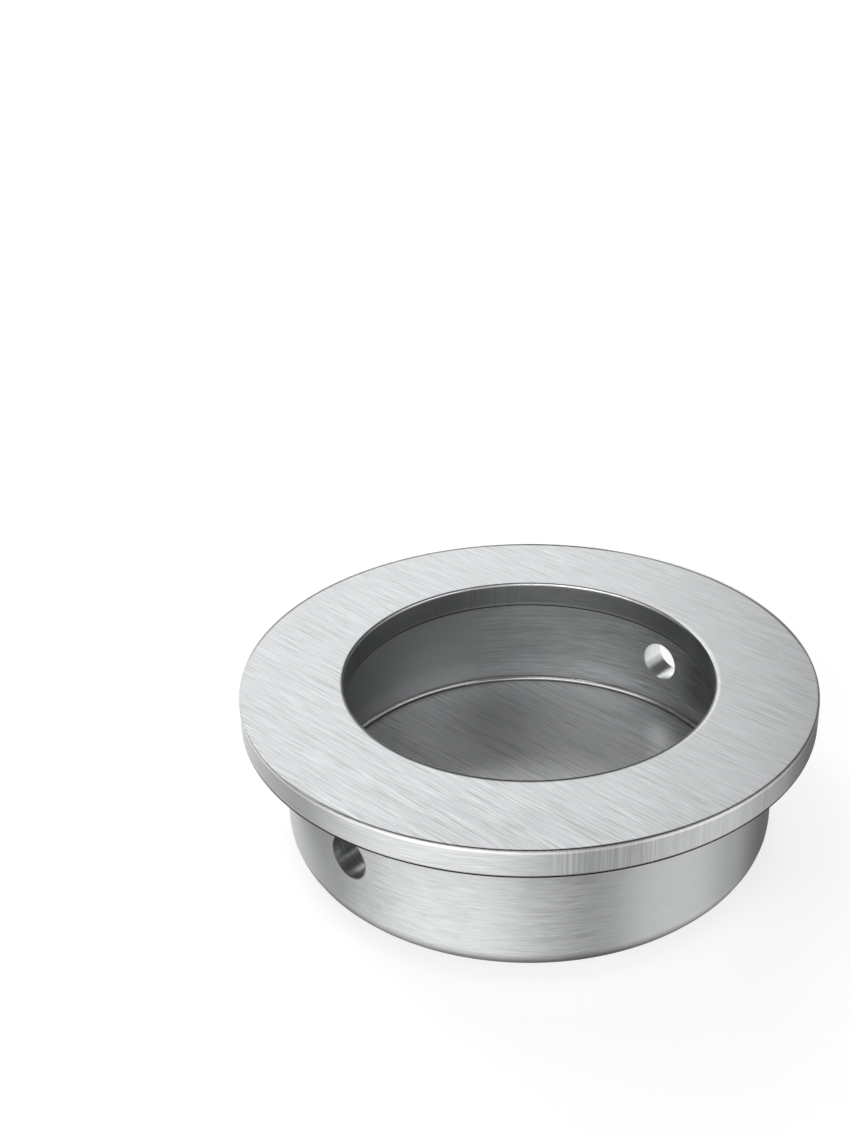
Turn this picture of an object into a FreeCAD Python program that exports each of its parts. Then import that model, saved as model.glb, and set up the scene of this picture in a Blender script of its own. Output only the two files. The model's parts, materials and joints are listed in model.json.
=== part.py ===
import FreeCAD, Part
import os
import Sketcher
from enum import IntEnum

# Round recessed pull handle. A flat ring, the face plate, lies on the door and overhangs the
# bore of a cup that sits in the door's recess. Fingers go in through the plate's opening and
# pull on the overhang. The cup is welded to the plate's back, and two screws driven from the
# inside through its wall hold it in the door.
# Millimetres, +Z out of the door. The origin is on the handle's axis, in the plane of the
# plate's back, where it seats on the door. The screw holes lie along Y.

SIZES = {
    # Face plate
    "plate_diameter": 60.0,
    "plate_thickness": 3.0,
    "plate_front_round": 0.2,
    "plate_back_round": 0.15,
    "opening_diameter": 38.8,
    "opening_front_round": 0.2,
    "opening_back_round": 0.15,
    # Cup
    "cup_diameter": 52.0,
    "cup_depth": 15.2,
    "cup_wall": 3.0,
    "cup_floor": 3.0,
    "cup_bottom_round": 3.2,
    "cup_floor_fillet": 0.5,
    # Screw holes through the cup's wall
    "screw_hole_diameter": 4.5,
    "screw_hole_below_plate": 6.2,
}

EDGE_TOLERANCE = 1e-4


class Axis(IntEnum):
    """A sketch's own axes, by the numbers that its constraints know them by."""
    LEVEL = -1
    UPRIGHT = -2


class Spot(IntEnum):
    """The points of a line or circle, by the numbers that constraints know them by."""
    START = 1
    END = 2
    CENTRE = 3


ORIGIN_POINT = (Axis.LEVEL, Spot.START)


def make_sheet(doc):
    """Put the driving sizes into the spreadsheet that every sketch and feature reads."""
    sheet = doc.addObject("Spreadsheet::Sheet", "Sizes")
    for row, (name, value) in enumerate(SIZES.items(), start=1):
        sheet.set(f"A{row}", name)
        sheet.set(f"B{row}", str(value))
        sheet.setAlias(f"B{row}", name)


def make_body(doc, node):
    """Start one piece. Its label names its file."""
    body = doc.addObject("PartDesign::Body", node.title().replace("_", "") + "Body")
    body.Label = node
    return body


def sketch_on(body, role, name):
    """Start a sketch on one of the piece's own origin planes."""
    sketch = body.newObject("Sketcher::SketchObject", name)
    plane = next(item for item in body.Origin.OriginFeatures if item.Role == role)
    sketch.AttachmentSupport = [(plane, "")]
    sketch.MapMode = "FlatFace"
    return sketch


def square_outline(sketch, corners):
    """Draw a closed outline with upright and level sides through the named corners.

    Return what a constraint calls each corner: the side that starts there, and its start.
    """
    points = [FreeCAD.Vector(*place, 0) for place in corners.values()]
    sides = []
    for start, end in zip(points, points[1:] + points[:1]):
        side = sketch.addGeometry(Part.LineSegment(start, end), False)
        direction = "Horizontal" if start.y == end.y else "Vertical"
        sketch.addConstraint(Sketcher.Constraint(direction, side))
        sides.append(side)
    for side, following in zip(sides, sides[1:] + sides[:1]):
        joint = Sketcher.Constraint("Coincident", side, Spot.END, following, Spot.START)
        sketch.addConstraint(joint)
    return {name: (side, Spot.START) for name, side in zip(corners, sides)}


def dimension(sketch, direction, first, second, name, expression, value):
    """Dimension the way from one point to another and tie it to the spreadsheet."""
    number = sketch.addConstraint(Sketcher.Constraint(direction, *first, *second, value))
    sketch.renameConstraint(number, name)
    sketch.setExpression(f"Constraints.{name}", expression)


def hold_on_axis(sketch, point, axis):
    """Keep a point on one of the sketch's own axes."""
    sketch.addConstraint(Sketcher.Constraint("PointOnObject", *point, axis))


def revolve(body, sketch, name):
    """Turn a half section about the handle's axis."""
    feature = body.newObject("PartDesign::Revolution", name)
    feature.Profile = sketch
    feature.ReferenceAxis = (sketch, ["V_Axis"])
    feature.Angle = 360.0
    sketch.Visibility = False
    return feature


def round_edge(body, name, base, diameter, height, expression):
    """Round the circular edge of the given diameter and height."""
    body.Document.recompute()
    found = []
    for number, edge in enumerate(base.Shape.Edges, start=1):
        curve = edge.Curve
        if not isinstance(curve, Part.Circle):
            continue
        same_size = abs(curve.Radius - diameter / 2) < EDGE_TOLERANCE
        same_height = abs(curve.Center.z - height) < EDGE_TOLERANCE
        if same_size and same_height:
            found.append(f"Edge{number}")
    feature = body.newObject("PartDesign::Fillet", name)
    feature.Base = (base, found)
    feature.setExpression("Radius", expression)
    return feature


def keep_split_faces(body):
    """Stop the piece's features from joining faces that lie in one plane."""
    for feature in body.Group:
        if "Refine" in feature.PropertiesList:
            feature.Refine = False


def make_face_plate(doc):
    """A turned ring whose opening is smaller than the cup's bore, with its edges eased.

    Its back is split where the cup's wall ends, so the seat on the door is a face of its own.
    """
    outer = SIZES["plate_diameter"] / 2
    seat_inner = SIZES["cup_diameter"] / 2
    inner = SIZES["opening_diameter"] / 2
    front = SIZES["plate_thickness"]
    body = make_body(doc, "face_plate")
    sketch = sketch_on(body, "XZ_Plane", "PlateSection")
    corner = square_outline(sketch, {
        "back_inner": (inner, 0),
        "seat_inner": (seat_inner, 0),
        "back_outer": (outer, 0),
        "front_outer": (outer, front),
        "front_inner": (inner, front),
    })
    hold_on_axis(sketch, corner["back_inner"], Axis.LEVEL)
    dimension(sketch, "DistanceX", ORIGIN_POINT, corner["back_inner"], "opening_radius",
              "Sizes.opening_diameter / 2", inner)
    dimension(sketch, "DistanceX", ORIGIN_POINT, corner["seat_inner"], "seat_inner_radius",
              "Sizes.cup_diameter / 2", seat_inner)
    dimension(sketch, "DistanceX", ORIGIN_POINT, corner["back_outer"], "plate_radius",
              "Sizes.plate_diameter / 2", outer)
    dimension(sketch, "DistanceY", corner["back_inner"], corner["front_inner"], "thickness",
              "Sizes.plate_thickness", front)
    ring = revolve(body, sketch, "PlateRing")
    eased = round_edge(body, "PlateFrontEdge", ring, SIZES["plate_diameter"], front,
                       "Sizes.plate_front_round")
    eased = round_edge(body, "PlateBackEdge", eased, SIZES["plate_diameter"], 0,
                       "Sizes.plate_back_round")
    eased = round_edge(body, "OpeningFrontEdge", eased, SIZES["opening_diameter"], front,
                       "Sizes.opening_front_round")
    round_edge(body, "OpeningBackEdge", eased, SIZES["opening_diameter"], 0,
               "Sizes.opening_back_round")
    keep_split_faces(body)
    return body


def make_cup(doc):
    """A turned cup with a heavy wall, welded to the plate's back by its rim."""
    outer = SIZES["cup_diameter"] / 2
    inner = outer - SIZES["cup_wall"]
    bottom = -SIZES["cup_depth"]
    floor = bottom + SIZES["cup_floor"]
    body = make_body(doc, "cup")
    sketch = sketch_on(body, "XZ_Plane", "CupSection")
    corner = square_outline(sketch, {
        "bottom_middle": (0, bottom),
        "bottom_outer": (outer, bottom),
        "rim_outer": (outer, 0),
        "rim_inner": (inner, 0),
        "floor_outer": (inner, floor),
        "floor_middle": (0, floor),
    })
    hold_on_axis(sketch, corner["bottom_middle"], Axis.UPRIGHT)
    hold_on_axis(sketch, corner["rim_outer"], Axis.LEVEL)
    dimension(sketch, "DistanceX", ORIGIN_POINT, corner["rim_outer"], "cup_radius",
              "Sizes.cup_diameter / 2", outer)
    dimension(sketch, "DistanceX", corner["rim_inner"], corner["rim_outer"], "wall",
              "Sizes.cup_wall", SIZES["cup_wall"])
    dimension(sketch, "DistanceY", corner["bottom_middle"], corner["rim_outer"], "depth",
              "Sizes.cup_depth", SIZES["cup_depth"])
    dimension(sketch, "DistanceY", corner["bottom_middle"], corner["floor_outer"], "floor",
              "Sizes.cup_floor", SIZES["cup_floor"])
    shell = revolve(body, sketch, "CupShell")
    rounded = round_edge(body, "CupBottomEdge", shell, SIZES["cup_diameter"], bottom,
                         "Sizes.cup_bottom_round")
    round_edge(body, "CupFloorFillet", rounded, 2 * inner, floor, "Sizes.cup_floor_fillet")
    drill_screw_holes(body)
    return body


def drill_screw_holes(body):
    """Drill once straight across the cup, so that the two holes in its wall face each other."""
    drop = SIZES["screw_hole_below_plate"]
    radius = SIZES["screw_hole_diameter"] / 2
    sketch = sketch_on(body, "XZ_Plane", "ScrewHoleSketch")
    circle = Part.Circle(FreeCAD.Vector(0, -drop, 0), FreeCAD.Vector(0, 0, 1), radius)
    hole = sketch.addGeometry(circle, False)
    hold_on_axis(sketch, (hole, Spot.CENTRE), Axis.UPRIGHT)
    dimension(sketch, "DistanceY", (hole, Spot.CENTRE), ORIGIN_POINT, "below_plate",
              "Sizes.screw_hole_below_plate", drop)
    number = sketch.addConstraint(Sketcher.Constraint("Radius", hole, radius))
    sketch.renameConstraint(number, "hole_radius")
    sketch.setExpression("Constraints.hole_radius", "Sizes.screw_hole_diameter / 2")
    pocket = body.newObject("PartDesign::Pocket", "ScrewHoles")
    pocket.Profile = sketch
    pocket.Type = "Length"
    pocket.Midplane = True
    pocket.setExpression("Length", "Sizes.cup_diameter + 2 * Sizes.cup_wall")
    sketch.Visibility = False


def check(doc, bodies):
    """Stop on any failed object, or on a piece that isn't one valid solid."""
    for item in doc.Objects:
        if "Invalid" in item.State or "Error" in item.State:
            raise RuntimeError(f"{item.Label} failed: {item.State}")
    for body in bodies:
        shape = body.Shape
        if shape.isNull() or not shape.isValid() or len(shape.Solids) != 1:
            raise RuntimeError(f"{body.Label} is not one valid solid")


def write_steps(bodies):
    """Write each piece to its own file and print what it holds."""
    os.makedirs("parts", exist_ok=True)
    for body in bodies:
        body.Shape.exportStep(f"parts/{body.Label}.step")
        box = body.Shape.BoundBox
        print(f"{body.Label}: {body.Shape.Volume:.1f} cubic mm, "
              f"{box.XLength:.2f} x {box.YLength:.2f} x {box.ZLength:.2f}, "
              f"z {box.ZMin:.2f} to {box.ZMax:.2f}")


def main():
    doc = FreeCAD.newDocument("RecessedPullHandle")
    make_sheet(doc)
    doc.recompute()
    bodies = [make_face_plate(doc), make_cup(doc)]
    doc.recompute()
    check(doc, bodies)
    write_steps(bodies)


main()
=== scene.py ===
import json
import math

import bpy
from mathutils import Matrix, Vector


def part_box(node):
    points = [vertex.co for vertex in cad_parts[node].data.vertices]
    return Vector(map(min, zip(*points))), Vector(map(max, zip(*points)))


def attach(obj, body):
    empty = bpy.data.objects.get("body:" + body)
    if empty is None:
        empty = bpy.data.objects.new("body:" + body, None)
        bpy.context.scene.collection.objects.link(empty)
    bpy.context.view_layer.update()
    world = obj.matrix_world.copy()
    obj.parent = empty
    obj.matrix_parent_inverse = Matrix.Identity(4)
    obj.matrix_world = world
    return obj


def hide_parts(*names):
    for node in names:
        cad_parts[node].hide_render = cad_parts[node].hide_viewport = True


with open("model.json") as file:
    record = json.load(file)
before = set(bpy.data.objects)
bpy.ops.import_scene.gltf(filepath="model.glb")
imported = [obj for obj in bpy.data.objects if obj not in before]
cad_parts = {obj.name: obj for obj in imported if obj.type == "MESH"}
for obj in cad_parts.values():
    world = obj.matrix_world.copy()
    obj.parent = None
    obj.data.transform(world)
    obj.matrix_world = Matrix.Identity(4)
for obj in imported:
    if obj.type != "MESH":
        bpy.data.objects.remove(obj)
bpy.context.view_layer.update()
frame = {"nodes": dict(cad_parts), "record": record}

# A round recessed pull in brushed steel, seen from above and in front. Metres, in the frame of
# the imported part: +Z out of the door, the screw holes along Y, the plate's back at Z = 0.

MM = 0.001
mounts = {mount["name"]: mount for mount in frame["record"]["mounts"]}

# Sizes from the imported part
PLATE_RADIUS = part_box("face_plate")[1].x
PLATE_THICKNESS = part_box("face_plate")[1].z
OPENING_RADIUS = min(
    math.hypot(vertex.co.x, vertex.co.y) for vertex in frame["nodes"]["face_plate"].data.vertices
)
CUP_RADIUS = mounts["cup_body"]["dims"]["r_mm"] * MM
CUP_DEPTH = -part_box("cup")[0].z
CUP_WALL = mounts["screw_hole_plus_y"]["dims"]["length_mm"] * MM
HOLE_RADIUS = mounts["screw_hole_plus_y"]["dims"]["r_mm"] * MM
HOLE_HEIGHT = mounts["screw_hole_plus_y"]["pos_m"][2]

# Sizes of the turned edges, as on the part
PLATE_FRONT_ROUND = 0.2 * MM
PLATE_BACK_ROUND = 0.15 * MM
OPENING_FRONT_ROUND = 0.2 * MM
OPENING_BACK_ROUND = 0.15 * MM
CUP_FLOOR = 3.0 * MM
CUP_BOTTOM_ROUND = CUP_DEPTH - mounts["cup_body"]["dims"]["length_mm"] * MM
CUP_FLOOR_FILLET = 0.5 * MM

# The view: where the camera stood, from the origin. HOLE_AZIMUTH is where +Y, the side of one
# screw hole, points: it is counted from the camera's right round to the far side.
PHOTO_WIDTH, PHOTO_HEIGHT = 850, 1134
FOCAL_PIXELS = 1461.2
AXIS_PIXEL = (529.4, 588.8)
SENSOR_HEIGHT = 36.0
NEAREST_SEEN = 0.01
HOLE_AZIMUTH = math.radians(47.98)
VIEW_PITCH = 0.4932
VIEW_BACK = 130.69 * MM
VIEW_UP = 82.95 * MM
AWAY = Vector((-math.cos(HOLE_AZIMUTH), math.sin(HOLE_AZIMUTH), 0.0))
RIGHT = Vector((math.sin(HOLE_AZIMUTH), math.cos(HOLE_AZIMUTH), 0.0))
UP = Vector((0.0, 0.0, 1.0))

# How finely the turned shapes are cut into faces
STEPS_AROUND = 720
STEPS_IN_ROUND = 8
HOLE_STEPS = 96
MERGE_DISTANCE = 0.0001 * MM
SHARP_ANGLE = math.radians(30)

# The middle of the cup's floor and underside is one flat disc, so that no thin faces meet there
DISC_RADIUS = 5 * MM

# How much the large flat faces outweigh the roundings beside them in the shading
FLATNESS = 100

# How the faces of each finish are told apart: by slope, and by distance from a surface
UPRIGHT_SLOPE = 0.5
LEVEL_SLOPE = 0.9
SURFACE_SLACK = 0.02 * MM
OPENING_MARGIN = 0.5 * MM
RIM_MARGIN = 0.5 * MM


class Socket:
    """A node's output. Arithmetic on it adds Math nodes to the same tree."""

    def __init__(self, tree, output):
        self.tree = tree
        self.output = output

    def math(self, operation, *values):
        inputs = dict(enumerate(values))
        return self.tree.add("ShaderNodeMath", {"operation": operation}, inputs)

    def __add__(self, other):
        return self.math("ADD", self, other)

    def __radd__(self, other):
        return self.math("ADD", other, self)

    def __sub__(self, other):
        return self.math("SUBTRACT", self, other)

    def __rsub__(self, other):
        return self.math("SUBTRACT", other, self)

    def __mul__(self, other):
        return self.math("MULTIPLY", self, other)

    def __rmul__(self, other):
        return self.math("MULTIPLY", other, self)

    def __truediv__(self, other):
        return self.math("DIVIDE", self, other)

    def __pow__(self, other):
        return self.math("POWER", self, other)

    def __neg__(self):
        return self.math("MULTIPLY", self, -1.0)

    def __abs__(self):
        return self.math("ABSOLUTE", self)

    def of(self, name):
        """Another output of the same node."""
        return Socket(self.tree, self.output.node.outputs[name])


class Tree:
    """A node tree that is written as expressions."""

    def __init__(self, nodes):
        self.nodes = nodes

    def add(self, kind, settings=None, inputs=None, output=0):
        """Add a node: its settings first, then the values or links of its inputs."""
        node = self.nodes.nodes.new(kind)
        for name, value in (settings or {}).items():
            setattr(node, name, value)
        for name, value in (inputs or {}).items():
            self.feed(node.inputs[name], value)
        outputs = node.outputs
        return Socket(self, outputs[output]) if outputs else node

    def feed(self, target, value):
        if isinstance(value, Socket):
            self.nodes.links.new(value.output, target)
        else:
            target.default_value = value

    def vector(self, x, y, z):
        return self.add("ShaderNodeCombineXYZ", None, {0: x, 1: y, 2: z})

    def length(self, x, y):
        return (x * x + y * y) ** 0.5

    def larger(self, first, second):
        return self.add("ShaderNodeMath", {"operation": "MAXIMUM"}, {0: first, 1: second})

    def blend(self, factor, low, high):
        """A number that goes from low to high with the factor."""
        return low + factor * (high - low)

    def ramp(self, value, low, high):
        """0 below low, 1 above high, and smooth between."""
        settings = {"interpolation_type": "SMOOTHSTEP"}
        return self.add("ShaderNodeMapRange", settings, {0: value, 1: low, 2: high})


class Turning(Tree):
    """A geometry tree that turns an outline about the handle's axis."""

    PATH_RADIUS = 0.05

    def __init__(self, name, sizes):
        nodes = bpy.data.node_groups.new(name, "GeometryNodeTree")
        super().__init__(nodes)
        self.sizes = sizes
        nodes.interface.new_socket("Geometry", in_out="OUTPUT", socket_type="NodeSocketGeometry")
        for label, value in sizes.items():
            kind = "NodeSocketInt" if isinstance(value, int) else "NodeSocketFloat"
            nodes.interface.new_socket(label, in_out="INPUT", socket_type=kind)
        self.group_in = self.add("NodeGroupInput")
        self.group_out = self.add("NodeGroupOutput")

    def size(self, label):
        return self.group_in.of(label)

    def pick(self, kind, values):
        """The value that goes with each point's number."""
        node = self.add("GeometryNodeIndexSwitch", {"data_type": kind}).output.node
        while len(node.index_switch_items) < len(values):
            node.index_switch_items.new()
        self.feed(node.inputs["Index"], self.add("GeometryNodeInputIndex"))
        for number, value in enumerate(values, start=1):
            self.feed(node.inputs[number], value)
        return Socket(self, node.outputs[0])

    def turn(self, corners, closed):
        """Turn an outline of (radius, height, rounding) corners, clockwise with Z up.

        An outline that isn't closed starts on a disc that looks up and ends on one that looks down.
        The outline is drawn flat and carried round a circle of PATH_RADIUS, so its radii are
        measured from that circle and its heights are turned over.
        """
        line = self.add("GeometryNodeMeshLine", None, {"Count": len(corners)})
        places = [self.vector(corner[0] - self.PATH_RADIUS, -corner[1], 0.0) for corner in corners]
        roundings = [corner[2] for corner in corners]
        line = self.add("GeometryNodeSetPosition", None, {
            "Geometry": line, "Position": self.pick("VECTOR", places),
        })
        curve = self.add("GeometryNodeMeshToCurve", None, {"Mesh": line})
        curve = self.add("GeometryNodeSetSplineCyclic", None, {"Geometry": curve, "Cyclic": closed})
        curve = self.add("GeometryNodeFilletCurve", {"mode": "POLY"}, {
            "Curve": curve,
            "Count": self.size("Steps in a Round"),
            "Radius": self.pick("FLOAT", roundings),
        })
        path = self.add("GeometryNodeCurvePrimitiveCircle", None, {
            "Resolution": self.size("Steps Around"), "Radius": self.PATH_RADIUS,
        })
        pieces = [self.add("GeometryNodeCurveToMesh", None, {"Curve": path, "Profile Curve": curve})]
        if not closed:
            up, down = corners[0], corners[-1]
            pieces.append(self.disc(up[0], up[1]))
            pieces.append(self.add("GeometryNodeFlipFaces", None, {"Mesh": self.disc(down[0], down[1])}))
        mesh = self.join(pieces)
        return self.add("GeometryNodeMergeByDistance", None, {
            "Geometry": mesh, "Distance": MERGE_DISTANCE,
        })

    def disc(self, radius, height):
        """A flat round face that looks up."""
        face = self.add("GeometryNodeMeshCircle", {"fill_type": "NGON"}, {
            "Vertices": self.size("Steps Around"), "Radius": radius,
        })
        return self.add("GeometryNodeTransform", None, {
            "Geometry": face, "Translation": self.vector(0.0, 0.0, height),
        })

    def join(self, pieces):
        node = self.add("GeometryNodeJoinGeometry").output.node
        for piece in pieces:
            self.feed(node.inputs["Geometry"], piece)
        return Socket(self, node.outputs[0])

    def finish(self, mesh, material, zones):
        """Keep the real edges sharp, and give each zone its finish."""
        angle = self.add("GeometryNodeInputMeshEdgeAngle")
        mesh = self.add("GeometryNodeSetShadeSmooth", {"domain": "EDGE"}, {
            "Geometry": mesh, "Selection": self.above(angle, SHARP_ANGLE), "Shade Smooth": False,
        })
        mesh = self.add("GeometryNodeRealizeInstances", None, {"Geometry": mesh})
        mesh = self.add("GeometryNodeSetMaterial", None, {"Geometry": mesh, "Material": material})
        for finish, selection in zones:
            mesh = self.add("GeometryNodeSetMaterial", None, {
                "Geometry": mesh, "Selection": selection, "Material": finish,
            })
        self.feed(self.group_out.inputs["Geometry"], mesh)

    def above(self, value, limit):
        return self.add("FunctionNodeCompare", {"operation": "GREATER_THAN"}, {0: value, 1: limit})

    def both(self, first, second):
        return self.add("FunctionNodeBooleanMath", {"operation": "AND"}, {0: first, 1: second})

    def place(self):
        """Radius and height of each point."""
        position = self.add("GeometryNodeInputPosition")
        parts = self.add("ShaderNodeSeparateXYZ", None, {0: position})
        return self.length(parts, parts.of("Y")), parts.of("Z")

    def facing(self):
        """How far each face looks up, from -1 to 1."""
        normal = self.add("GeometryNodeInputNormal")
        return self.add("ShaderNodeSeparateXYZ", None, {0: normal}, "Z")

    def make(self, name):
        """Run the tree on a new object and keep the result as a plain mesh."""
        carrier = bpy.data.objects.new(name, bpy.data.meshes.new(name))
        bpy.context.scene.collection.objects.link(carrier)
        modifier = carrier.modifiers.new("turned", "NODES")
        modifier.node_group = self.nodes
        for item in self.nodes.interface.items_tree:
            if item.in_out == "INPUT":
                modifier[item.identifier] = self.sizes[item.name]
        weighted = carrier.modifiers.new("flats", "WEIGHTED_NORMAL")
        weighted.mode = "FACE_AREA"
        weighted.weight = FLATNESS
        weighted.keep_sharp = True
        graph = bpy.context.evaluated_depsgraph_get()
        mesh = bpy.data.meshes.new_from_object(carrier.evaluated_get(graph))
        carrier.modifiers.clear()
        carrier.data = mesh
        mesh.name = name
        return carrier


def make_plate(finishes):
    """The ring, with its turned edges eased."""
    tree = Turning("turned_plate", {
        "Plate Radius": PLATE_RADIUS,
        "Thickness": PLATE_THICKNESS,
        "Opening Radius": OPENING_RADIUS,
        "Front Round": PLATE_FRONT_ROUND,
        "Back Round": PLATE_BACK_ROUND,
        "Opening Front Round": OPENING_FRONT_ROUND,
        "Opening Back Round": OPENING_BACK_ROUND,
        "Steps Around": STEPS_AROUND,
        "Steps in a Round": STEPS_IN_ROUND,
    })
    outer, inner, front = tree.size("Plate Radius"), tree.size("Opening Radius"), tree.size("Thickness")
    mesh = tree.turn([
        (inner, front, tree.size("Opening Front Round")),
        (outer, front, tree.size("Front Round")),
        (outer, 0.0, tree.size("Back Round")),
        (inner, 0.0, tree.size("Opening Back Round")),
    ], closed=True)
    radius = tree.place()[0]
    upright = tree.above(UPRIGHT_SLOPE, abs(tree.facing()))
    within = tree.above(inner + OPENING_MARGIN, radius)
    tree.finish(mesh, finishes["plate_face"], [
        (finishes["plate_edge"], upright),
        (finishes["plate_opening"], tree.both(upright, within)),
    ])
    return tree.make("face_plate_brushed")


def make_cup(finishes):
    """The cup, turned and then drilled once straight across."""
    tree = Turning("turned_cup", {
        "Cup Radius": CUP_RADIUS,
        "Depth": CUP_DEPTH,
        "Wall": CUP_WALL,
        "Floor": CUP_FLOOR,
        "Bottom Round": CUP_BOTTOM_ROUND,
        "Floor Fillet": CUP_FLOOR_FILLET,
        "Hole Radius": HOLE_RADIUS,
        "Hole Height": HOLE_HEIGHT,
        "Hole Steps": HOLE_STEPS,
        "Disc Radius": DISC_RADIUS,
        "Steps Around": STEPS_AROUND,
        "Steps in a Round": STEPS_IN_ROUND,
    })
    outer, depth = tree.size("Cup Radius"), tree.size("Depth")
    bore = outer - tree.size("Wall")
    floor = tree.size("Floor") - depth
    shell = tree.turn([
        (tree.size("Disc Radius"), floor, 0.0),
        (bore, floor, tree.size("Floor Fillet")),
        (bore, 0.0, 0.0),
        (outer, 0.0, 0.0),
        (outer, -depth, tree.size("Bottom Round")),
        (tree.size("Disc Radius"), -depth, 0.0),
    ], closed=False)
    drill_length = 3 * outer
    drill = tree.add("GeometryNodeMeshCylinder", {"fill_type": "NGON"}, {
        "Vertices": tree.size("Hole Steps"), "Radius": tree.size("Hole Radius"), "Depth": drill_length,
    })
    drill = tree.add("GeometryNodeTransform", None, {
        "Geometry": drill,
        "Translation": tree.vector(0.0, 0.0, tree.size("Hole Height")),
        "Rotation": (math.pi / 2, 0.0, 0.0),
    })
    drilled = tree.add("GeometryNodeMeshBoolean", {"operation": "DIFFERENCE", "solver": "EXACT"}, {
        "Mesh 1": shell, "Mesh 2": drill,
    })
    radius, height = tree.place()
    level = tree.above(abs(tree.facing()), LEVEL_SLOPE)
    in_wall = tree.both(tree.above(radius, bore + SURFACE_SLACK), tree.above(outer - SURFACE_SLACK, radius))
    hole = tree.both(in_wall, tree.both(tree.above(-RIM_MARGIN, height), tree.above(height, floor)))
    within = tree.above(bore + SURFACE_SLACK, radius)
    tree.finish(drilled, finishes["cup_wall"], [
        (finishes["cup_bore"], within),
        (finishes["cup_floor"], level),
        (finishes["drilled"], hole),
    ])
    return tree.make("cup_brushed")


# Sockets of the Mix node when it mixes colours, which share their names with its other sockets
MIX_FACTOR, MIX_FIRST, MIX_SECOND, MIX_RESULT = 0, 6, 7, 2

# Relief of the scratches in mm, for a full swing of their noise
FINE_DEPTH = 0.015
BROAD_DEPTH = 0.010


class Steel(Tree):
    """A brushed steel, written as expressions on the object's coordinates in mm."""

    def __init__(self, name):
        self.material = bpy.data.materials.new(name)
        self.material.use_nodes = True
        super().__init__(self.material.node_tree)
        self.nodes.nodes.clear()
        place = self.add("ShaderNodeTexCoord", None, None, "Object")
        parts = self.add("ShaderNodeSeparateXYZ", None, {0: place})
        self.x = parts / MM
        self.y = parts.of("Y") / MM
        self.z = parts.of("Z") / MM
        self.radius = self.length(self.x, self.y)
        normal = self.add("ShaderNodeNewGeometry", None, None, "True Normal")
        facing = self.add("ShaderNodeSeparateXYZ", None, {0: normal})
        self.facing_x = abs(facing)
        self.facing_y = abs(facing.of("Y"))

    def noise(self, x, y, z, detail, roughness=0.5):
        """A smooth random number about 0.5 that changes once in every unit of its arguments."""
        return self.add("ShaderNodeTexNoise", {"noise_dimensions": "3D"}, {
            "Vector": self.vector(x, y, z),
            "Scale": 1.0,
            "Detail": detail,
            "Roughness": roughness,
        })

    def side(self, direction):
        """1 on the side of the part towards a direction, and -1 on the side opposite."""
        return (self.x * direction.x + self.y * direction.y) / self.radius

    def line(self, value, middle, half_width):
        """1 in the middle of a thin line, and 0 beyond its sides."""
        return 1.0 - self.ramp(abs(value - middle), 0.0, half_width)

    def grain(self, along, across, depth):
        """Fine scratches in clusters and broad ones, that run along one direction. Each is about 0.

        The factors say how often the noise changes in a mm, and the added numbers set each noise
        apart from the others.
        """
        short = self.noise(along * 0.32, across * 6.4, depth * 6.4, detail=3.0, roughness=0.6) - 0.5
        long = self.noise(along * 0.11 + 5.0, across * 7.0, depth * 7.0, detail=1.0) - 0.5
        broad = self.noise(along * 0.20 + 7.0, across * 1.6, depth * 1.6, detail=2.0) - 0.5
        cluster = self.noise(along * 0.10 + 3.0, across * 0.4, depth * 0.4, detail=1.0)
        strength = self.larger(1.4 * cluster + 0.3, 0.6)
        return (0.65 * short + 0.65 * long) * strength, broad

    def straight_grain(self):
        """Grain along X, on the plate's face and the cup's floor."""
        return self.grain(self.x, self.y, self.z)

    def round_grain(self, along=0.26):
        """Grain that runs round the cup's wall, and fades where the wall looks along X."""
        fine = self.noise(self.x * along, self.y * along, self.z * 6.5, detail=3.0, roughness=0.7) - 0.5
        broad = self.noise(self.x * 0.15 + 5.0, self.y * 0.15, self.z * 1.8, detail=2.0) - 0.5
        strength = (1.0 - 0.8 * self.ramp(self.facing_x, 0.80, 0.92)) * (1.5 - 0.8 * self.facing_x)
        return fine * strength, broad * strength

    def finish(self, tone, height, color, roughness, anisotropic=0.0, rotation=0.0):
        """Join the colour, the relief and the metal's uniform numbers. Height is in mm."""
        toned = self.add("ShaderNodeMix", {"data_type": "RGBA", "blend_type": "MULTIPLY"}, {
            MIX_FACTOR: 1.0, MIX_FIRST: (*color, 1.0), MIX_SECOND: self.vector(tone, tone, tone),
        }, MIX_RESULT)
        relief = self.add("ShaderNodeBump", None, {
            "Strength": 1.0, "Distance": MM, "Height": height,
        })
        surface = self.add("ShaderNodeBsdfPrincipled", None, {
            "Base Color": toned,
            "Metallic": 1.0,
            "Roughness": roughness,
            "Anisotropic": anisotropic,
            "Anisotropic Rotation": rotation,
            "Normal": relief,
        })
        self.add("ShaderNodeOutputMaterial", None, {"Surface": surface})
        return self.material


def scratch_depth(fine, broad):
    """The relief that belongs to fine and broad scratches."""
    return FINE_DEPTH * fine + BROAD_DEPTH * broad


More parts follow.
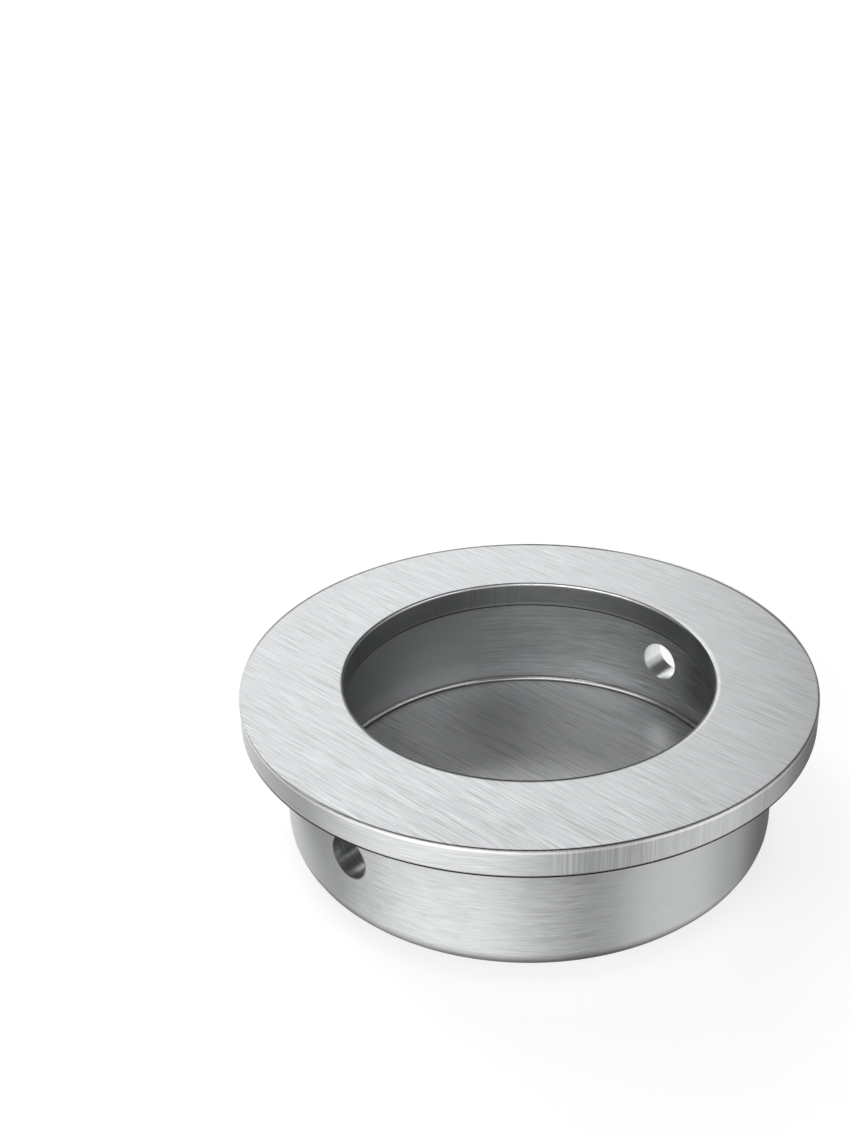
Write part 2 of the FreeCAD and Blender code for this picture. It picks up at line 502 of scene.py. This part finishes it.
class PlateEdgePaintedLight:
    """Painted light and shade on the plate's four turned edges: a painted dark line by each, and painted
    highlights on the roundings.

    Radii, heights, insets and widths are in mm, and a side goes from -1 to 1.
    """

    FRONT = PLATE_THICKNESS / MM
    OUTER = PLATE_RADIUS / MM
    INNER = OPENING_RADIUS / MM

    def __init__(self, steel):
        self.steel = steel
        self.right = steel.side(RIGHT)
        self.near = steel.side(-AWAY)
        self.left = steel.larger(-self.right, 0.0)
        self.nearer = steel.larger(self.near, 0.0)
        self.farther = steel.larger(-self.near, 0.0)
        self.far = steel.ramp(self.farther, 0.0, 0.3)
        self.rightmost = steel.ramp(self.right, 0.78, 0.95)
        self.outside = steel.ramp(steel.radius, self.INNER + 1.0, self.INNER + 1.2)
        inset = steel.blend(self.far, 0.16, 0.12 + 0.40 * self.farther + 0.08 * self.right)
        self.outer_line_radius = self.OUTER - inset

    def outer_painted_shade_line(self):
        """A painted shade line along the outer edge, further in on the far side and faint at the near left.
        """
        steel = self.steel
        farthest = steel.ramp(self.farther, 0.90, 0.98) * (1.0 - 0.8 * steel.ramp(self.left, 0.0, 0.2))
        near_strength = (
            0.80 + 0.16 * steel.ramp(self.near, 0.85, 0.97) - 0.50 * steel.ramp(self.right, 0.1, 0.75)
        )
        strength = steel.blend(self.far, near_strength, 0.76 + 0.24 * farthest)
        near_fade = 0.9 * steel.ramp(-self.right, 0.60, 0.86)
        far_fade = 0.3 * steel.ramp(-self.right, 0.97, 1.0)
        fade = steel.blend(steel.ramp(self.farther, 0.0, 0.15), near_fade, far_fade)
        near_width = 0.15 + 0.08 * steel.ramp(self.right, 0.0, 0.5)
        width = steel.blend(self.far, near_width, 0.30 - 0.04 * self.farther) + 0.05 * farthest
        return strength * (1.0 - fade) * steel.line(steel.radius, self.outer_line_radius, width)

    def inner_painted_shade_line(self):
        """A painted shade line along the opening's edge, widest on the near side and gone at the far right.
        """
        steel = self.steel
        strength = 0.75 + 0.25 * self.nearer
        fade = 0.9 * self.rightmost * steel.ramp(-self.near, -0.05, 0.15)
        inset = 0.05 + 0.20 * self.nearer + 0.06 * self.farther + 0.07 * self.left
        width = 0.15 + 0.20 * self.nearer + 0.08 * self.left
        return strength * (1.0 - fade) * steel.line(steel.radius, self.INNER + inset, width)

    def back_painted_shade_line(self):
        """A painted shade line along both back edges."""
        steel = self.steel
        low = steel.blend(self.outside, 0.12, 0.19)
        high = steel.blend(self.outside, 0.25, 0.36)
        return steel.blend(self.outside, 0.97, 0.985) * (1.0 - steel.ramp(steel.z, low, high))

    def opening_painted_shade(self):
        """Painted shade: the right end of the opening is darker below its front rounding."""
        steel = self.steel
        below = steel.ramp(-steel.z, 0.1 - self.FRONT, 0.3 - self.FRONT)
        return 0.4 * (1.0 - self.outside) * steel.ramp(self.right, 0.90, 0.99) * below

    def front_painted_glint(self):
        """Painted highlights: both front roundings are bright, the opening's most of all, but not at its
        right end.
        """
        steel = self.steel
        opening = 4.2 * (1.0 - self.rightmost) * steel.line(steel.z, self.FRONT - 0.20, 0.15)
        outer = 0.5 * steel.line(steel.z, self.FRONT - 0.25, 0.25)
        return steel.blend(self.outside, opening, outer)

    def back_painted_glint(self):
        """A painted highlight line above the opening's dark back line, on the far side."""
        steel = self.steel
        return (1.0 - self.outside) * self.farther * steel.line(steel.z, 0.40, 0.16) * 0.5

    def painted_shine(self):
        """A painted highlight: the face is bright beside the opening at the right."""
        steel = self.steel
        inset = 0.30 + 0.25 * self.nearer
        return 0.42 * steel.ramp(self.right, 0.60, 0.98) * steel.line(steel.radius, self.INNER + inset, 0.28)

    def painted_pale_rim(self):
        """A painted highlight: the far side is pale beyond its dark line."""
        steel = self.steel
        strength = 0.7 * steel.ramp(self.farther, 0.5, 0.8) * (1.0 - 0.6 * self.left)
        start = self.outer_line_radius
        return strength * steel.ramp(steel.radius, start + 0.10, start + 0.24)

    def tone(self):
        """1 away from the edges, less in the painted shade lines and more on the painted highlights."""
        steel = self.steel
        at_front = steel.ramp(steel.z, self.FRONT - 0.15, self.FRONT - 0.05)
        front_lines = at_front * (self.outer_painted_shade_line() + self.inner_painted_shade_line())
        dark = (1.0 - front_lines) * (1.0 - self.back_painted_shade_line()) * (1.0 - self.opening_painted_shade())
        return dark * (1.0 + self.front_painted_glint() + self.back_painted_glint() + self.painted_shine() + self.painted_pale_rim())


def painted_dark_reflection(steel):
    """A painted dark reflection: the outer walls are darker at the near right, as where they mirror the dark
    end of a room.
    """
    right, near = steel.side(RIGHT), steel.side(-AWAY)
    return 1.0 - 0.57 * steel.ramp(right, 0.77, 0.93) * steel.ramp(near, 0.10, 0.30)


FACE_COLOR = (0.711, 0.725, 0.736)
INSIDE_COLOR = (0.694, 0.705, 0.713)

# Grain that runs round spreads what it mirrors up and down: the rotation is a quarter turn
ROUND_BRUSHED = {
    "color": (0.711, 0.725, 0.722),
    "roughness": 0.6,
    "anisotropic": 1.0,
    "rotation": 0.25,
}
# The opening's wall is the same steel, its colour painted darker as painted shade.
OPENING_BRUSHED_PAINTED_DARK = {"color": (0.296, 0.301, 0.305), "roughness": 0.34}


def plate_face_steel():
    """Straight grain across the line of the screw holes."""
    steel = Steel("plate_face")
    fine, broad = steel.straight_grain()
    nearer = steel.larger(steel.side(-AWAY), 0.0)
    righter = steel.larger(steel.side(RIGHT), 0.0)
    fine = fine * (1.0 + 0.20 * nearer - 0.25 * righter)
    # Painted shade: the face is painted a little lighter on the near side and darker on the right.
    shade = 0.87 + 0.03 * nearer - 0.04 * righter
    # The edges carry painted shade lines and painted highlights.
    tone = shade * (1.0 + fine + 0.15 * broad) * PlateEdgePaintedLight(steel).tone()
    return steel.finish(tone, scratch_depth(fine, broad), color=FACE_COLOR, roughness=0.32)


def plate_edge_steel(name="plate_edge", metal=ROUND_BRUSHED):
    """Grain along the edge where it looks along Y, and across it where it looks along X."""
    steel = Steel(name)
    along, broad_along = steel.grain(steel.x, steel.y * 0.1, steel.z * 1.9)
    upright, broad_upright = steel.grain(steel.z * 0.5, steel.y * 0.85, steel.x * 0.85)
    side = steel.ramp(steel.facing_x - steel.facing_y, -0.02, 0.02)
    faint = 1.0 - 0.60 * steel.ramp(steel.facing_x, 0.84, 0.97)
    fine = steel.blend(side, 0.8 * along, faint * upright)
    broad = steel.blend(side, 0.5 * broad_along, faint * broad_upright)
    scratches = 1.0 + 0.85 * fine + 0.30 * broad
    # The edges carry painted shade lines and painted highlights, and the walls a painted dark reflection.
    tone = 0.99 * scratches * PlateEdgePaintedLight(steel).tone() * painted_dark_reflection(steel)
    return steel.finish(tone, scratch_depth(fine, broad), **metal)


def plate_opening_steel():
    """The wall of the opening, grained as the outer edge but smoother, and with its colour painted darker as
    painted shade.
    """
    return plate_edge_steel("plate_opening", OPENING_BRUSHED_PAINTED_DARK)


def cup_bore_steel():
    """The bore in painted shade, lighter towards the floor and darker at the right, with a thin painted dark
    line above and below a painted highlight on the fillet.
    """
    steel = Steel("cup_bore")
    fine, broad = steel.round_grain()
    fillet = CUP_FLOOR_FILLET / MM
    floor = (CUP_FLOOR - CUP_DEPTH) / MM
    bore = (CUP_RADIUS - CUP_WALL) / MM
    above = steel.ramp(steel.z, floor + fillet - 0.10, floor + fillet)
    upper_painted_shade_line = 0.55 * steel.line(steel.z, floor + fillet - 0.07, 0.13)
    lower_painted_shade_line = 0.80 * steel.line(steel.radius, bore - fillet + 0.11, 0.18)
    # A painted highlight along the fillet.
    glint = 3.0 * steel.line(steel.z, floor + 0.07, 0.28) * steel.line(steel.radius, bore - 0.26, 0.32)
    lower = steel.ramp(-steel.z, -floor - 4.2, -floor - 0.6)
    leftward = steel.ramp(steel.side(-RIGHT), -0.2, 0.6)
    corner = steel.ramp(steel.side(RIGHT), 0.72, 0.86) * steel.ramp(steel.z, floor + 0.7, floor + 4.2)
    # Painted shade: the bore is darker overall, lighter to the left and towards the floor, and darker at the
    # right.
    shade = (0.67 + 0.08 * leftward + 0.18 * lower) * (1.0 - 0.45 * corner)
    scratches = 1.0 + (0.5 + 0.7 * above) * fine + 0.30 * broad
    tone = shade * scratches * (1.0 - (upper_painted_shade_line + lower_painted_shade_line)) * (1.0 + glint)
    height = (0.3 + 0.7 * above) * scratch_depth(fine, broad)
    height = height + 0.06 * steel.ramp(steel.z, floor, floor + 0.24)
    return steel.finish(tone, height, color=INSIDE_COLOR, roughness=steel.blend(above, 0.20, 0.34))


def cup_wall_steel():
    """The outer wall. Its bottom round is darker, as painted shade, and the holes have a dark outline."""
    steel = Steel("cup_wall")
    fine, broad = steel.round_grain(0.42)
    strength = steel.blend(steel.ramp(steel.facing_x, 0.60, 0.74), 0.54, 0.95)
    strength = strength * (0.15 + 0.85 * steel.ramp(steel.side(-AWAY), 0.50, 0.85))
    scratches = 1.0 + strength * (fine + 0.40 * strength * broad)
    straight = (CUP_DEPTH - CUP_BOTTOM_ROUND) / MM
    bottom_round_painted_shade = 0.78 * steel.ramp(-steel.z, straight + 0.05, straight + 1.8)
    from_hole = steel.length(steel.x, steel.z - HOLE_HEIGHT / MM)
    outline = 0.7 * steel.line(from_hole, HOLE_RADIUS / MM, 0.22)
    # Painted shade on the bottom round, and a painted dark reflection at the near right.
    tone = 0.98 * scratches * (1.0 - bottom_round_painted_shade) * (1.0 - outline) * painted_dark_reflection(steel)
    return steel.finish(tone, scratch_depth(fine, broad), **ROUND_BRUSHED)


def cup_floor_steel():
    """Straight grain across the floor, as on the plate's face, painted brighter as painted light, and darker
    along its edge as painted shade.
    """
    steel = Steel("cup_floor")
    fine, broad = steel.straight_grain()
    edge = (CUP_RADIUS - CUP_WALL - CUP_FLOOR_FILLET) / MM
    edge_painted_shade_line = 0.75 * steel.line(steel.radius, edge + 0.02, 0.19)
    edge_painted_shade = 0.22 * steel.ramp(steel.radius, edge - 1.2, edge)
    # Painted light and shade: the floor is painted brighter than the bore, and darker towards its edge with
    # a painted shade line.
    tone = 1.32 * (1.0 + 1.1 * fine + 0.30 * broad) * (1.0 - edge_painted_shade_line) * (1.0 - edge_painted_shade)
    return steel.finish(tone, scratch_depth(fine, broad), color=INSIDE_COLOR, roughness=0.45)


def drilled_steel():
    """Fine rings left by the drill. The hole on the camera's side is painted darker, as painted shade."""
    steel = Steel("drilled")
    rings = steel.noise(steel.x * 0.3, steel.y * 5.0, steel.z * 0.3, detail=3.0, roughness=0.6) - 0.5
    near = steel.ramp(steel.side(-AWAY), -0.2, 0.2)
    # Painted shade: the hole on the camera's side is darker.
    tone = steel.blend(near, 1.12, 0.95) * (1.0 + steel.blend(near, 0.5, 1.4) * rings)
    return steel.finish(tone, 0.004 * rings, color=INSIDE_COLOR, roughness=0.30)


FINISHES = {
    "plate_face": plate_face_steel,
    "plate_edge": plate_edge_steel,
    "plate_opening": plate_opening_steel,
    "cup_wall": cup_wall_steel,
    "cup_bore": cup_bore_steel,
    "cup_floor": cup_floor_steel,
    "drilled": drilled_steel,
}


def add_camera():
    data = bpy.data.cameras.new("camera")
    data.sensor_fit = "VERTICAL"
    data.sensor_height = SENSOR_HEIGHT
    data.lens = SENSOR_HEIGHT * FOCAL_PIXELS / PHOTO_HEIGHT
    data.shift_x = (PHOTO_WIDTH / 2 - AXIS_PIXEL[0]) / PHOTO_HEIGHT
    data.shift_y = (AXIS_PIXEL[1] - PHOTO_HEIGHT / 2) / PHOTO_HEIGHT
    data.clip_start = NEAREST_SEEN
    camera = bpy.data.objects.new("camera", data)
    bpy.context.scene.collection.objects.link(camera)
    ahead = AWAY * math.cos(VIEW_PITCH) - UP * math.sin(VIEW_PITCH)
    above = RIGHT.cross(ahead)
    turn = Matrix((RIGHT, above, -ahead)).transposed()
    camera.matrix_world = turn.to_4x4()
    camera.location = UP * VIEW_UP - AWAY * VIEW_BACK
    bpy.context.scene.camera = camera


# The floor and the sky. They are white, which is 1, for the camera, and pale in what the steel
# mirrors. The floor also has a shade of its own, which keeps the shadow and adds to its glow.
WHITE = (1.0, 1.0, 1.0, 1.0)
FLOOR_HALF_WIDTH = 30.0
FLOOR_COLOR = (0.45, 0.45, 0.45, 1.0)
FLOOR_SEEN = 0.74
FLOOR_MIRRORED = 0.69
FAR_FLOOR = (0.3, 1.5)
SKY_STRENGTH = 0.10
HORIZON_HEIGHTS = (0.0, 0.12)


def seen_rays(tree):
    """1 on the camera's own rays, and 1 on the rays that a mirror or glass sends on."""
    camera = tree.add("ShaderNodeLightPath", None, None, "Is Camera Ray")
    return camera, tree.larger(camera.of("Is Glossy Ray"), camera.of("Is Transmission Ray"))


def add_floor():
    mesh = bpy.data.meshes.new("floor")
    half = FLOOR_HALF_WIDTH
    corners = [(-half, -half), (half, -half), (half, half), (-half, half)]
    mesh.from_pydata([(x, y, -CUP_DEPTH) for x, y in corners], [], [(0, 1, 2, 3)])
    floor = bpy.data.objects.new("floor", mesh)
    bpy.context.scene.collection.objects.link(floor)
    material = bpy.data.materials.new("pale_floor")
    material.use_nodes = True
    tree = Tree(material.node_tree)
    tree.nodes.nodes.clear()
    shade = tree.add("ShaderNodeBsdfDiffuse", None, {"Color": FLOOR_COLOR})
    place = tree.add("ShaderNodeTexCoord", None, None, "Object")
    parts = tree.add("ShaderNodeSeparateXYZ", None, {0: place})
    far = tree.ramp(tree.length(parts, parts.of("Y")), *FAR_FLOOR)
    camera, mirrored = seen_rays(tree)
    strength = tree.larger(camera * tree.blend(far, FLOOR_SEEN, 1.0), mirrored * FLOOR_MIRRORED)
    glow = tree.add("ShaderNodeEmission", None, {"Color": WHITE, "Strength": strength})
    both = tree.add("ShaderNodeAddShader", None, {0: shade, 1: glow})
    tree.add("ShaderNodeOutputMaterial", None, {"Surface": both})
    mesh.materials.append(material)


def add_world():
    """A plain sky. The camera sees white, and the steel mirrors white only low at the horizon."""
    world = bpy.data.worlds.new("studio")
    bpy.context.scene.world = world
    world.use_nodes = True
    tree = Tree(world.node_tree)
    tree.nodes.nodes.clear()
    direction = tree.add("ShaderNodeTexCoord", None, None, "Generated")
    height = tree.add("ShaderNodeSeparateXYZ", None, {0: direction}, "Z")
    camera, mirrored = seen_rays(tree)
    backdrop = tree.larger(camera, mirrored * (1.0 - tree.ramp(height, *HORIZON_HEIGHTS)))
    glow = tree.add("ShaderNodeBackground", None, {
        "Color": WHITE, "Strength": tree.blend(backdrop, SKY_STRENGTH, 1.0),
    })
    tree.add("ShaderNodeOutputWorld", None, {"Surface": glow})


# Soft boxes round the part. Azimuth 0 is on the camera's right and 90 is beyond the part. Each
# spans the two azimuths and the two elevations, in degrees, and 1 is as bright as white paper.
SOFTBOX_DISTANCE = 3.0
SOFTBOXES = {
    "top": ((200, 345), (42, 62), 0.40),
    "front_left_strip": ((213, 286), (0.5, 8), 5.80),
    "front_left": ((193, 265), (1, 16), 3.60),
    "front_left_top": ((197, 276), (12, 80), 0.52),
    "front_right_strip": ((310, 351), (0.5, 12), 3.46),
    "front_right": ((302, 370), (8, 35), 0.62),
    "back": ((75, 137), (20, 50), 1.13),
    "back_left": ((126, 155), (28, 80), 2.17),
    "back_strip": ((84, 138), (2, 18), 1.60),
}


def add_softbox(name, azimuths, elevations, brightness):
    flat = math.radians(sum(azimuths) / 2)
    rise = math.radians(sum(elevations) / 2)
    half_wide = math.radians(azimuths[1] - azimuths[0]) / 2
    half_tall = math.radians(elevations[1] - elevations[0]) / 2
    level = RIGHT * math.cos(flat) + AWAY * math.sin(flat)
    towards = level * math.cos(rise) + UP * math.sin(rise)
    data = bpy.data.lights.new(name, "AREA")
    data.shape = "RECTANGLE"
    data.size = 2 * SOFTBOX_DISTANCE * math.cos(rise) * math.tan(half_wide)
    data.size_y = 2 * SOFTBOX_DISTANCE * math.tan(half_tall)
    data.energy = math.pi * brightness * data.size * data.size_y
    lamp = bpy.data.objects.new(name, data)
    bpy.context.scene.collection.objects.link(lamp)
    lamp.location = towards * SOFTBOX_DISTANCE
    lamp.rotation_euler = towards.to_track_quat("Z", "Y").to_euler()


def main():
    bpy.context.scene.view_settings.view_transform = "Standard"
    finishes = {name: make() for name, make in FINISHES.items()}
    plate = make_plate(finishes)
    cup = make_cup(finishes)
    for piece, node in ((plate, "face_plate"), (cup, "cup")):
        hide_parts(node)
        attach(piece, "root")
    add_camera()
    add_floor()
    add_world()
    for name, (azimuths, elevations, brightness) in SOFTBOXES.items():
        add_softbox(name, azimuths, elevations, brightness)


main()
